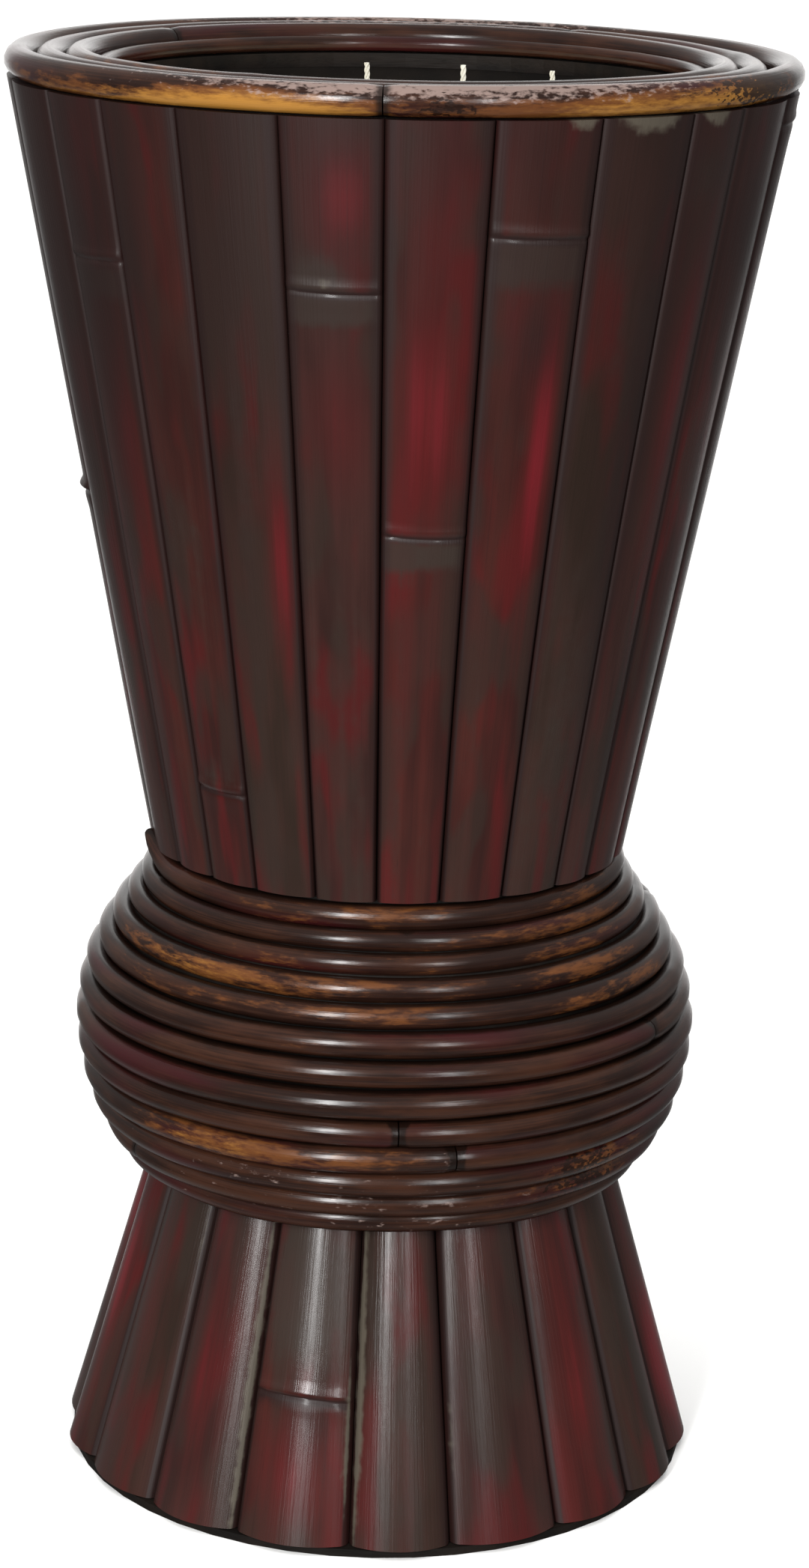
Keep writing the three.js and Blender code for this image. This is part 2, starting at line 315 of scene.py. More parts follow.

# %% [markdown]
# ## Stained bamboo
# The strips were stained by hand in patches, then lacquered.  The grain runs along each
# strip, however the strip leans in the bowl, so the finish doesn't read places in the
# room.  It reads `unbent`, an attribute that holds where each point was while the strip
# was still flat.  Four painted amounts say roughly where a patch is, and the grain breaks
# their edges into streaks: `red` stain; a grey amount where the lacquer is rubbed through,
# which towards the bowl's waist is painted light; `dark` for darker patches and for painted
# shade along the strip edges, in the joints' grooves and towards the bowl's top; and `pale`
# for dried lacquer and for painted highlights on the joints' lips.

# %% Bamboo finish
def bamboo_finish(name, ground, shade, red, deep_red):
    finish = Finish(name)
    place = finish.read("unbent", "Vector")
    fibre = finish.grain(place, (1900, 1900, 11), detail=4)
    streak = finish.grain(place, (170, 170, 3.2), detail=3)
    cloud = finish.grain(place, (60, 60, 13), detail=3)
    pore = finish.grain(place, (2600, 2600, 160), detail=2)
    smoke = finish.grain(place, (60, 60, 20), detail=2)
    blush = finish.grain(place, (80, 80, 17), detail=2)
    blob = finish.grain(place, (320, 320, 260), detail=3)

    # Where each painted amount wins, its edge broken up by the noise.
    broken = (streak - 0.5) * 1.1 + (fibre - 0.5) * 0.16 + (cloud - 0.5) * 0.9
    red_share = (finish.read("red") + broken * 0.6).between(0.1, 1.05)
    bare_share = (finish.read("bare") + broken * 0.7 + (blob - 0.5) * 0.4).between(0.25, 0.85)
    dark_share = (finish.read("dark") + broken * 0.3).between(0.1, 0.95)
    pale_share = (finish.read("pale") + (blob - 0.5) * 0.7).between(0.3, 0.7)
    vivid = (finish.read("red") + (streak - 0.5) * 0.8 + (cloud - 0.5) * 0.5).between(0.62, 1.15)

    # The stains in the order in which they lie on one another.
    colour = finish.mix((cloud + (streak - 0.5) * 0.5).between(0.32, 0.68), ground, shade)
    colour = finish.mix(blush.between(0.48, 0.66) * 0.7, colour, deep_red)
    colour = finish.mix(smoke.between(0.49, 0.6) * 0.65, colour, paint("#2a201b"))
    colour = finish.mix(red_share * 0.85, colour, finish.mix(vivid, deep_red, red))
    # Grey where the lacquer is rubbed through, and towards the bowl's waist as painted light.
    colour = finish.mix(bare_share * 0.85, colour, paint("#302823"))
    # Darker patches, and painted shade at the edges, in joint grooves and near the bowl's top.
    colour = finish.mix(dark_share * 0.9, colour, paint("#1a0a08"))
    # Dried lacquer, and painted highlights on the joints' lips and above strip 24's joint.
    colour = finish.mix(pale_share * 0.8, colour, paint("#504a40"))
    lines = fibre.between(0.56, 0.8) + pore.between(0.62, 0.8)
    colour = finish.mix(lines * 0.3, colour, paint("#120a09"))

    relief = fibre * 0.5 + streak * 0.35 + pore * 0.15 + bare_share * 0.2
    return finish.surface({
        "Base Color": colour,
        "Roughness": 0.19 + fibre * 0.08 + bare_share * 0.04 + dark_share * 0.28,
        "Specular IOR Level": 0.26,
        "Coat Weight": 0.1,
        "Coat Roughness": 0.16,
        "Normal": finish.bump(relief, 0.16 * MM),
    })


stain_paints = {
    "red": ("#2b1310", "#3d1b16", "#701620", "#4c1112"),
    "plum": ("#271512", "#38201c", "#68141c", "#461011"),
    "umber": ("#241913", "#33201b", "#68141c", "#461011"),
}
stains = {
    f"bamboo_{name}": bamboo_finish(f"{name}_stained_bamboo", *map(paint, codes))
    for name, codes in stain_paints.items()
}
print("stains:", sorted(stains))

# %% [markdown]
# ## Where the CAD puts a strip
# A CAD strip is a plain wedge with points only at its two ends.  Measuring those points
# gives what the detailed strip needs: its two heights, the radii of its back and its
# face at each, the turn of its middle and half the angle it spans.

# %% Measure a strip
END_BAND = 0.05 * MM


def strip_place(node):
    """Where one CAD strip is, in metres and radians."""
    points = [v.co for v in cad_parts[node].data.vertices]
    low = min(p.z for p in points)
    high = max(p.z for p in points)
    middle = math.atan2(sum(p.x for p in points), -sum(p.y for p in points))
    spread = Matrix.Rotation(-middle, 3, "Z")
    half_turn = max(abs(math.atan2((spread @ p).x, -(spread @ p).y)) for p in points)
    ends = []
    for end in (low, high):
        radii = [math.hypot(p.x, p.y) for p in points if abs(p.z - end) < END_BAND]
        ends.append((min(radii), max(radii)))
    return {"low": low, "high": high, "middle": middle, "half_turn": half_turn, "ends": ends}


ring_counts = {
    ring: sum(name.startswith(ring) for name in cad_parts) for ring in ("bowl_slat", "foot_slat")
}
first_turn = math.degrees(strip_place("bowl_slat_01")["middle"])
print("strips in each ring:", ring_counts)
print("first strip's middle:", round(first_turn, 2), "degrees from -Y")

# %% [markdown]
# ## A flat strip first
# It is easiest to shape a strip while it is flat: a cube is scaled to size, its two long
# outer edges are rounded with a bevel as a knife and sandpaper leave them, and cuts are
# added so that it can bend.  Extra cuts gather round each joint of the bamboo, because a
# joint is only a few millimetres high and needs points of its own.

# %% Flat strip
EDGE_ROUND = 1.1 * MM
CUTS_ACROSS = 9
CUTS_ALONG = 42
JOINT_CUTS = (-5, -3.5, -2.4, -1.6, -1, -0.5, 0, 0.4, 0.9, 1.5, 2.2, 3.2, 4.6)
SAME_PLACE = 0.02 * MM


def flat_strip(width, thickness, length, joints):
    """A strip that stands on the origin, face towards -Y, with joints at shares of its length."""
    strip = bmesh.new()
    bmesh.ops.create_cube(strip, size=1)
    bmesh.ops.scale(strip, vec=(width, thickness, length), verts=strip.verts)
    bmesh.ops.translate(strip, vec=(0, 0, length / 2), verts=strip.verts)

    def runs(edge, axis):
        along = edge.verts[0].co - edge.verts[1].co
        return abs(along[axis]) > 0.99 * along.length

    outer = [e for e in strip.edges if runs(e, 2) and e.verts[0].co.y < 0]
    bmesh.ops.bevel(strip, geom=outer, offset=EDGE_ROUND, affect="EDGES", segments=3, profile=0.5,
                    material=-1)
    across = [e for e in strip.edges if runs(e, 0) and e.calc_length() > width / 2]
    bmesh.ops.subdivide_edges(strip, edges=across, cuts=CUTS_ACROSS, use_grid_fill=True)
    upright = [e for e in strip.edges if runs(e, 2)]
    bmesh.ops.subdivide_edges(strip, edges=upright, cuts=CUTS_ALONG, use_grid_fill=True)
    for joint in joints:
        for step in JOINT_CUTS:
            cut = (0, 0, joint * length + step * MM)
            bmesh.ops.bisect_plane(strip, geom=all_of(strip), plane_co=cut, plane_no=(0, 0, 1),
                                   dist=SAME_PLACE)
    return strip


trial = flat_strip(24 * MM, 3 * MM, 210 * MM, [0.5])
print("a trial strip has", len(trial.faces), "faces")
trial.free()

# %% [markdown]
# ## The relief of a joint
# Where the bamboo stem had a joint, a strip shows a raised lip, a sharp groove under it
# and a low swelling below.  Three bell curves added together draw that profile well, and
# being smooth they can be read at any height.  Each has a height, a middle and a width.

# %% Joint relief
def bell(distance, width):
    """1 at no distance, about a third one width away and nothing far off."""
    return math.exp(-((distance / width) ** 2))


def joint_relief(above):
    """How far the face stands out at a height above the joint's groove, all in mm."""
    return 0.4 * bell(above - 1.5, 1.3) - 0.4 * bell(above, 0.55) + 0.1 * bell(above + 2.2, 2.2)


print("relief in mm, lip and groove:", round(joint_relief(1.3), 2), round(joint_relief(0), 2))

# %% [markdown]
# ## What was painted on each strip
# The patches that show from the front are listed, a few to a strip: the amount,
# how far across (-1 left edge, 1 right edge) and how high (0 bottom, 1 top) its middle
# lies, its half width and half height in the same measures, and its strength.  A half
# width of 4 makes a band right across.  Joints are heights on the same scale.

# %% Patches and joints
patches = {
    "bowl_slat_01": [("red", 0.1, 0.66, 0.95, 0.19, 0.98), ("red", 0.0, 0.93, 1.0, 0.09, 0.42),
        ("bare", 0.0, 0.468, 4.0, 0.02, 1.0), ("red", -0.1, 0.3, 1.0, 0.18, 0.46)],
    "bowl_slat_02": [("red", 0.42, 0.6, 0.45, 0.26, 1.05), ("red", -0.35, 0.76, 0.35, 0.08, 0.6),
        ("bare", 0.0, 0.832, 4.0, 0.034, 0.95), ("dark", 0.1, 0.73, 0.5, 0.06, 0.3),
        ("red", 0.1, 0.15, 0.9, 0.12, 0.3),
        ("pale", 0.6, 0.998, 0.35, 0.01, 1.0)],
    "bowl_slat_03": [("pale", -0.1, 0.996, 0.75, 0.016, 1.1), ("bare", 0.2, 0.78, 1.2, 0.2, 0.3),
        ("dark", 0.7, 0.55, 0.5, 0.4, 0.35), ("bare", 0.0, 0.3, 1.2, 0.2, 0.25)],
    "bowl_slat_04": [("red", 0.1, 0.66, 0.8, 0.22, 0.78), ("dark", -0.8, 0.5, 0.4, 0.5, 0.35),
        ("bare", -0.5, 0.92, 0.7, 0.05, 0.5), ("pale", -0.35, 0.996, 0.55, 0.014, 1.1)],
    "bowl_slat_05": [("red", 0.2, 0.5, 0.9, 0.2, 0.35), ("dark", 0.3, 0.85, 1.2, 0.12, 0.3)],
    "bowl_slat_06": [("dark", 0.0, 0.9, 1.5, 0.1, 0.4)],
    "bowl_slat_24": [("red", 0.25, 0.91, 0.85, 0.09, 0.98), ("bare", -0.35, 0.81, 0.6, 0.03, 0.9),
        # The pale touch just above strip 24's joint is a painted highlight.
        ("pale", -0.15, 0.804, 0.2, 0.01, 0.6),
        ("bare", 0.2, 0.772, 4.0, 0.02, 1.0), ("red", 0.1, 0.63, 1.0, 0.12, 0.68),
        ("red", -0.1, 0.12, 1.0, 0.07, 0.3), ("bare", 0.0, 0.3, 1.2, 0.2, 0.25)],
    "bowl_slat_23": [("dark", -0.6, 0.7, 0.9, 0.4, 0.2), ("red", 0.62, 0.45, 0.45, 0.17, 0.85),
        ("red", 0.5, 0.1, 0.6, 0.05, 0.25), ("bare", -0.2, 0.62, 0.8, 0.2, 0.3)],
    "bowl_slat_22": [("red", 0.2, 0.75, 0.8, 0.1, 0.3), ("bare", 0.0, 0.15, 1.3, 0.03, 0.4),
        ("bare", 0.0, 0.45, 1.2, 0.2, 0.3), ("dark", -0.6, 0.8, 0.5, 0.2, 0.3)],
    "bowl_slat_21": [("red", 0.3, 0.6, 0.6, 0.13, 0.75), ("bare", 0.0, 0.777, 4.0, 0.022, 0.9),
        ("red", 0.0, 0.92, 1.0, 0.06, 0.2), ("dark", -0.1, 0.75, 1.2, 0.3, 0.45)],
    "bowl_slat_20": [("dark", 0.0, 0.7, 1.4, 0.4, 0.5)],
    "bowl_slat_19": [("dark", 0.0, 0.6, 1.4, 0.4, 0.5)],
    # The dark band at the very top of foot strips 02, 03 and 17, under the waist, is painted shadow.
    "foot_slat_01": [("bare", -0.1, 0.6, 0.8, 0.5, 0.5), ("pale", -0.95, 0.5, 0.05, 0.6, 1.1),
        ("dark", 0.9, 0.5, 0.3, 0.9, 0.4), ("red", 0.3, 0.25, 0.7, 0.2, 0.25)],
    "foot_slat_02": [("bare", -0.2, 0.5, 0.9, 0.5, 0.3), ("dark", 0.0, 0.96, 1.4, 0.08, 0.4),
        ("pale", -0.95, 0.3, 0.07, 0.3, 0.4)],
    "foot_slat_03": [("red", -0.1, 0.45, 0.9, 0.6, 0.7), ("dark", 0.0, 0.97, 1.4, 0.08, 0.5)],
    "foot_slat_04": [("red", 0.1, 0.5, 0.8, 0.35, 0.3)],
    "foot_slat_18": [("bare", 0.0, 0.75, 1.3, 0.27, 1.1), ("red", 0.0, 0.2, 1.0, 0.2, 0.8),
        ("dark", 0.0, 0.415, 1.4, 0.025, 0.6), ("pale", 0.95, 0.3, 0.04, 0.3, 0.8)],
    "foot_slat_17": [("red", -0.1, 0.48, 0.8, 0.42, 0.72), ("dark", 0.0, 0.98, 1.4, 0.08, 0.5),
        ("pale", 0.95, 0.45, 0.045, 0.6, 1.1)],
    "foot_slat_16": [("red", 0.0, 0.55, 0.9, 0.35, 0.45), ("pale", 0.9, 0.8, 0.1, 0.3, 0.5)],
}
joints = {
    "bowl_slat_01": [0.489], "bowl_slat_02": [0.858], "bowl_slat_06": [0.965], "bowl_slat_24": [0.791],
    "bowl_slat_22": [0.126], "bowl_slat_21": [0.8], "bowl_slat_19": [0.47], "foot_slat_18": [0.435],
}
JOINTLESS = {"bowl_slat": (3, 4, 5, 20, 23), "foot_slat": (1, 2, 3, 4, 5, 15, 16, 17)}
for ring, numbers in JOINTLESS.items():
    for number in numbers:
        joints[f"{ring}_{number:02d}"] = []
print("strips with patches set by hand:", len(patches))

# %% [markdown]
# ## Strips that only show from behind
# Nobody has to choose these one by one.  They draw their patches and joints from a seeded
# random source, so they differ from one another but come out the same every time.

# %% Drawn patches and joints
JOINT_CHANCE = 0.6
hand = random.Random(7)


def drawn_patches(strip_joints):
    """Two red patches and a dark one anywhere, and rubbed grey bands and dark bands at the joints."""
    drawn = []
    for _ in range(2):
        across, up = hand.uniform(-0.5, 0.5), hand.uniform(0.15, 0.85)
        half_width, half_height = hand.uniform(0.4, 1.0), hand.uniform(0.2, 0.4)
        drawn.append(("red", across, up, half_width, half_height, hand.uniform(0.3, 0.75)))
    drawn.append(("dark", hand.uniform(-0.6, 0.6), hand.uniform(0.1, 0.9), 1.0, 0.2, 0.4))
    drawn += [("bare", 0.0, joint - 0.02, 4.0, 0.02, 0.7) for joint in strip_joints]
    drawn += [("dark", 0.0, joint + 0.015, 1.5, 0.02, 0.4) for joint in strip_joints]
    return drawn


for ring, count in ring_counts.items():
    for number in range(1, count + 1):
        node = f"{ring}_{number:02d}"
        if node not in joints:
            joints[node] = [hand.uniform(0.12, 0.9)] if hand.random() < JOINT_CHANCE else []
        if node not in patches:
            patches[node] = drawn_patches(joints[node])
print("joints on", sum(bool(v) for v in joints.values()), "strips")

# %% [markdown]
# ## What is painted on one point
# The amounts at a point are the patches over it, painted shade in the grooves of the joints
# and along the edges where two strips meet, and a painted highlight on each joint's lip.  A
# bowl strip also has painted shade towards the top and painted light, laid on as more grey,
# towards the waist.

# %% Painted amounts at one point
def painted(node, across, up, above_joints, from_edge):
    """How much of each stain, and of painted light and shade, lies there.  Distances from joints and
    edges are in mm.
    """
    amounts = dict.fromkeys(("red", "bare", "dark", "pale"), 0.0)
    for kind, side, height, half_width, half_height, strength in patches[node]:
        near = bell(across - side, half_width) * bell(up - height, half_height)
        amounts[kind] += strength * near
    # Painted shade in each joint's groove and a painted highlight on its lip.
    for above in above_joints:
        amounts["dark"] += 0.75 * bell(above + 0.4, 0.8)
        amounts["pale"] += 0.1 * bell(above - 1.2, 0.7)
    # Painted shade along both edges, where one strip meets the next.
    amounts["dark"] += 1.2 * bell(from_edge, 1.0)
    # Painted shade towards the top of a bowl strip, and painted light, as more grey, towards the waist.
    if node.startswith("bowl"):
        amounts["dark"] += 0.6 * up
        amounts["bare"] += 0.25 * (1 - up)
    return amounts


print("red in the middle of a patch:", round(painted("bowl_slat_01", 0, 0.66, [], 10)["red"], 2))

# %% [markdown]
# ## Bending a strip into its place
# Each point of the flat strip is sent to the leaning cone that the CAD strip lies on:
# its share of the width becomes an angle, its height becomes a height and a radius, and
# its depth is taken off that radius.  The middle of the face is raised into the crown
# that round bamboo has.  A strip's edges are pared at the face, so that a dark V shows
# between two strips while their backs still meet.  Real strips don't sit perfectly, so
# some are wider than others, each one is pushed in or out a touch, one edge more than
# the other, and its edges waver slightly.  Each strip's unbent place is set off by a step
# of its own, so that no two strips share their grain.

# %% Bend a strip
SEAM_SHIFTS = {
    "bowl_slat": {1: 0.2, 2: 0.2, 3: 0.8, 4: 1.8, 5: -1.5, 24: 0.5, 22: 0.8, 21: 1.8},
    "foot_slat": {1: 0.7, 2: -0.6, 3: 1.0, 4: 0.6, 18: -0.8, 17: -0.5, 16: -2.0},
}
CROWN = {"bowl_slat": 1.0 * MM, "foot_slat": 3.2 * MM}
PARING = {"bowl_slat": 0.66 * MM, "foot_slat": 1.0 * MM}
BACK_PARING = 0.2
PROUD_JOINTS = {"bowl_slat_19": 3.2}
JOINT_BOW = {"bowl_slat": -0.3, "foot_slat": 1.2}
STRIP_SEEDS = {"bowl_slat": 9, "foot_slat": 986}
EDGE_WAVER = 0.15 * MM
FACE_SWELL = 0.22 * MM
GRAIN_STEP = 0.083
FOOT_GRAIN = 3.1


def bent_strip(node, index):
    """The detailed strip for a CAD strip, with its painted amounts on every point."""
    ring = node[:9]
    spot = strip_place(node)
    crown = CROWN[ring]
    length = spot["high"] - spot["low"]
    (back_low, face_low), (back_high, face_high) = spot["ends"]
    thickness = face_low - back_low - crown
    width = spot["half_turn"] * (face_low + face_high)
    strip = flat_strip(width, thickness, length, joints[node])

    unbent = strip.verts.layers.float_vector.new("unbent")
    amounts = {kind: strip.verts.layers.float.new(kind) for kind in ("red", "bare", "dark", "pale")}
    luck = random.Random(index * 31 + STRIP_SEEDS[ring])
    push = luck.uniform(-0.18, 0.12) * MM
    twist = luck.uniform(-0.28, 0.28) * MM
    tilt = luck.uniform(-0.6, 0.6)
    left_shift = SEAM_SHIFTS[ring].get(index + 1, 0)
    right_shift = SEAM_SHIFTS[ring].get((index + 1) % ring_counts[ring] + 1, 0)
    offset = Vector((index * GRAIN_STEP, 0, luck.uniform(0, 0.4)))
    if ring == "foot_slat":
        offset.x += FOOT_GRAIN

    for vert in strip.verts:
        flat = vert.co.copy()
        across = 2 * flat.x / width
        up = flat.z / length
        depth = flat.y + thickness / 2
        on_face = 1 - depth / thickness
        bow = JOINT_BOW[ring] * across * across - tilt * across
        above_joints = [(flat.z - joint * length) / MM + bow for joint in joints[node]]
        from_edge = width / 2 * (1 - abs(across)) / MM
        vert[unbent] = flat + offset
        for kind, amount in painted(node, across, up, above_joints, from_edge).items():
            vert[amounts[kind]] = amount

        relief = sum(map(joint_relief, above_joints)) * PROUD_JOINTS.get(node, 1) * MM
        waver = noise.noise(Vector((index * 7.3, flat.z * 22, 4.0 if across > 0 else 9.0)))
        swell = noise.noise(Vector((index * 3.1, flat.z * 14, across * 0.8)))
        face = face_low + (face_high - face_low) * up - crown * across * across
        radius = face - depth * (1 + crown / thickness * (1 - across * across)) + push + twist * across
        radius += on_face * (relief + swell * FACE_SWELL)
        seam_shift = math.radians(left_shift * (1 - across) / 2 + right_shift * (1 + across) / 2)
        pared = PARING[ring] * (BACK_PARING + (1 - BACK_PARING) * on_face)
        turn = spot["middle"] + seam_shift
        turn += across * (spot["half_turn"] + (waver * EDGE_WAVER - pared) / face)
        vert.co = Vector((radius * math.sin(turn), -radius * math.cos(turn), spot["low"] + flat.z))
    bmesh.ops.recalc_face_normals(strip, faces=strip.faces)
    return strip


trial = bent_strip("foot_slat_01", 0)
print("a trial foot strip has", len(trial.faces), "faces")
trial.free()

# %% [markdown]
# ## All the strips
# The three stains follow one another round each ring in a short, uneven order, as if each
# strip had been taken from whichever heap was nearest.

# %% Build the strips
STRIP_SLOTS = {
    "bowl_slat": ["bamboo_red", "bamboo_red", "bamboo_umber", "bamboo_plum"],
    "foot_slat": ["bamboo_umber", "bamboo_plum", "bamboo_red"],
}
faces = 0
for ring, count in ring_counts.items():
    for index in range(count):
        node = f"{ring}_{index + 1:02d}"
        slot = STRIP_SLOTS[ring][index % len(STRIP_SLOTS[ring])]
        shape = bent_strip(node, index)
        faces += len(shape.faces)
        place_piece(shape, node.replace("slat", "strip"), stains[slot], "vessel", [node])
print("strips built with", faces, "faces")

# %% [markdown]
# ## Cane finish
# The canes are rattan: smooth, dark and lacquered, with fine lines along their length.
# Where a hand or a cloth has rubbed, the stain is `worn` and golden cane shows with
# ragged edges.  Elsewhere it is `burnt`; `dark` with dirt in the knots and at the joint,
# with painted shade between one waist cane and the next, and darker where marked; or
# `pale` where the lacquer has flaked, and as a painted reflection on top of the outer rim
# cane at the front.  Like the strips, a cane keeps an `unbent` place, as if it lay
# straight, so its lines run round the hoop with it.

# %% Cane finish
def cane_finish(name, dark, brown, wine, gold, amber):
    finish = Finish(name)
    place = finish.read("unbent", "Vector")
    line = finish.grain(place, (2300, 2300, 22), detail=4)
    blotch = finish.grain(place, (150, 150, 30), detail=4, roughness=0.6)
    ragged = finish.grain(place, (650, 650, 170), detail=4, roughness=0.65)
    tooth = finish.grain(place, (900, 900, 520), detail=2)
    cloud = finish.grain(place, (70, 70, 14), detail=2)

    worn = (finish.read("worn") + (blotch - 0.5) * 1.5 + (ragged - 0.5) * 1.1).between(0.36, 0.7)
    burnt = (finish.read("burnt") * 1.2 + (tooth - 0.5) * 1.6).between(0.75, 0.9)
    dark_share = (finish.read("dark") + (ragged - 0.5) * 0.4).between(0.3, 0.7)
    bright = (finish.read("worn") + (ragged - 0.5) * 0.9).between(0.6, 1.1)
    flaked = (ragged - 0.5) * 0.9 + (tooth - 0.5) * 0.7
    pale_share = (finish.read("pale") + flaked).between(0.4, 0.62)

    colour = finish.mix((blotch + (line - 0.5) * 0.5).between(0.35, 0.68), dark, brown)
    colour = finish.mix(cloud.between(0.5, 0.72), colour, wine)
    colour = finish.mix(worn, colour, finish.mix(bright, amber, gold))
    # Flaked lacquer, and on top of the outer rim cane at the front a painted reflection.
    colour = finish.mix(pale_share * 0.8, colour, paint("#86736c"))
    colour = finish.mix(burnt * 0.9, colour, paint("#1a0d08"))
    # Dirt, and on the waist canes painted shade between one cane and the next.
    colour = finish.mix(dark_share * 0.9, colour, paint("#120a07"))
    colour = finish.mix(line.between(0.6, 0.8) * 0.35, colour, paint("#140a06"))
    return finish.surface({
        "Base Color": colour,
        "Roughness": 0.17 + line * 0.07 + worn * 0.06,
        "Specular IOR Level": 0.2,
        "Coat Weight": 0.08,
        "Coat Roughness": 0.12,
        "Normal": finish.bump(line * 0.6 + ragged * 0.3 - worn * 0.25, 0.12 * MM),
    })


cane_paints = ("#1e110d", "#372016", "#320f12", "#9c6d30", "#5a351b")
stained_cane = cane_finish("lacquered_cane", *map(paint, cane_paints))
print("cane finish:", stained_cane.name)

# %% [markdown]
# ## A bent cane
# A hoop of cane is one length bent round until its ends meet, so it isn't a perfect
# ring: there is a joint, the cane swells at its nodes and the circle wavers.  A capped
# circle is spun nearly all the way round, which leaves the joint open by a hair, and
# each point is then moved by a little noise that depends on how far round it is.

# %% A plain hoop
CANE_SIDES = 14
CANE_STEPS = 168
JOINT_GAP = 0.35 * MM


def plain_hoop(radius, cane):
    """A perfect ring of cane, open by a hair at its joint on +X."""
    hoop = bmesh.new()
    made = bmesh.ops.create_circle(hoop, cap_ends=True, radius=cane / 2, segments=CANE_SIDES)
    upright = Matrix.Rotation(math.pi / 2, 3, "X")
    bmesh.ops.rotate(hoop, cent=(0, 0, 0), matrix=upright, verts=made["verts"])
    bmesh.ops.translate(hoop, vec=(radius, 0, 0), verts=made["verts"])
    bmesh.ops.spin(hoop, geom=all_of(hoop), cent=(0, 0, 0), axis=(0, 0, 1),
                   angle=2 * math.pi - JOINT_GAP / radius, steps=CANE_STEPS, use_merge=False)
    return hoop


trial = plain_hoop(100 * MM, 8 * MM)
print("a trial hoop has", len(trial.faces), "faces")
trial.free()

# %% [markdown]
# ## Wear, dirt and painted light on a cane
# Turns are in degrees from the front, to the right as seen from there.  A mark is a kind
# (worn, burnt, dark or pale), the turn of its middle, its half turn, the side of the cane
# that it lies on (0 outside, 90 on top) and its strength.  One pale mark, on top of the
# outer rim cane at the front, is a painted reflection.

# %% Wear at one point
def turned_away(azimuth, turn):
    """Degrees from one turn to another, the short way round."""
    return (azimuth - turn + 180) % 360 - 180


def marks_at(marks, azimuth, side):
    """How much of each kind of mark, among them painted light, lies on one point of a hoop."""
    wear_and_painted_light = dict.fromkeys(("worn", "burnt", "dark", "pale"), 0.0)
    for kind, mark_turn, mark_half, mark_side, strength in marks:
        away = turned_away(azimuth, mark_turn)
        facing_side = 0.45 + 0.55 * math.cos(side - math.radians(mark_side))
        wear_and_painted_light[kind] += strength * facing_side * bell(away / mark_half, 1) ** 0.7
    return wear_and_painted_light


print("wear beside a mark:", round(marks_at([("worn", 0, 20, 0, 1.0)], 20, 0)["worn"], 2))

# %% [markdown]
# ## Real canes aren't rings
# Each hoop has two knots where it is thicker, and it rises, falls and wavers.  Dirt sits
# in the knots and at the joint, and painted shade lies, by the share `groove`, along the
# top and bottom, where one cane meets the next.  A hoop can be pulled on one side: a pull
# is a turn, a half turn, mm outwards and a share thinner.  Its cut end can spring up out
# of the winding and thin to a point.

# %% Bend a cane
KNOTS = 2
KNOT_SWELL = 0.035
KNOT_NICK = 0.03
UNEVEN = 0.035
END_ROUNDING = 0.09
CANE_GRAIN_STEP = 0.05
SPRUNG_LENGTH = 16


def bent_cane(radius, cane, height, joint, seed, marks=(), waver=0.2, pull=None, cut_end=0.0,
              groove=0.0):
    """A hoop of cane with its joint at a turn.  Waver and cut end are in mm."""
    hoop = plain_hoop(radius, cane)
    open_turn = JOINT_GAP / radius
    unbent = hoop.verts.layers.float_vector.new("unbent")
    amounts = {kind: hoop.verts.layers.float.new(kind) for kind in ("worn", "burnt", "dark", "pale")}
    luck = random.Random(seed)
    knots = [luck.uniform(0.1, 0.9) * 2 * math.pi for _ in range(KNOTS)]

    for vert in hoop.verts:
        turn = math.atan2(vert.co.y, vert.co.x) % (2 * math.pi)
        if turn > 2 * math.pi - open_turn / 2:
            turn = 0.0
        out = math.hypot(vert.co.x, vert.co.y) - radius
        side = math.atan2(vert.co.z, out)
        azimuth = turned_away(math.degrees(turn), -joint)
        facing = math.radians(azimuth)
        circle = Vector((math.cos(turn) * 1.6, math.sin(turn) * 1.6, seed * 3.7))
        wear_and_painted_light = marks_at(marks, azimuth, side)
        thick = 1 + UNEVEN * noise.noise(circle * 2)
        for knot in knots:
            away = (turn - knot) * radius / MM
            thick += KNOT_SWELL * bell(away, 3.5) - KNOT_NICK * bell(away, 0.5)
            wear_and_painted_light["dark"] += 0.6 * bell(away, 0.7)
        from_end = min(turn, 2 * math.pi - open_turn - turn) * radius / MM
        thick -= END_ROUNDING * bell(from_end, 0.35)
        # Dirt at the cut ends, and painted shade along the top and bottom by the share `groove`.
        wear_and_painted_light["dark"] += 0.8 * bell(from_end, 0.5) + groove * abs(math.sin(side)) ** 5
        sprung = max(0.0, 1 - turn * radius / MM / SPRUNG_LENGTH) if cut_end else 0.0
        thick *= 1 - 0.5 * sprung ** 3
        shift = 0.0
        if pull:
            pull_turn, pull_half, pull_out, pull_thin = pull
            share = bell(turned_away(azimuth, pull_turn), pull_half)
            shift = pull_out * MM * share
            thick -= pull_thin * share

        for kind, amount in wear_and_painted_light.items():
            vert[amounts[kind]] = amount
        section = Vector((math.cos(side), math.sin(side))) * cane / 2
        vert[unbent] = Vector((section.x + seed * CANE_GRAIN_STEP, section.y, turn * radius))
        size = math.hypot(out, vert.co.z) * thick
        springs = cut_end * MM * sprung ** 2
        bobs = 0.7 * waver * MM * noise.noise(circle + Vector((0, 0, 20)))
        middle = radius + shift + waver * MM * noise.noise(circle) + 0.6 * springs
        reach = middle + size * math.cos(side)
        rise = height + bobs + springs + size * math.sin(side)
        vert.co = Vector((reach * math.sin(facing), -reach * math.cos(facing), rise))
    bmesh.ops.recalc_face_normals(hoop, faces=hoop.faces)
    return hoop


trial = bent_cane(100 * MM, 8 * MM, 0, joint=0, seed=0)
reach = max(vert.co.xy.length for vert in trial.verts)
print("a trial cane reaches", round(reach / MM, 1), "mm instead of 104")
trial.free()

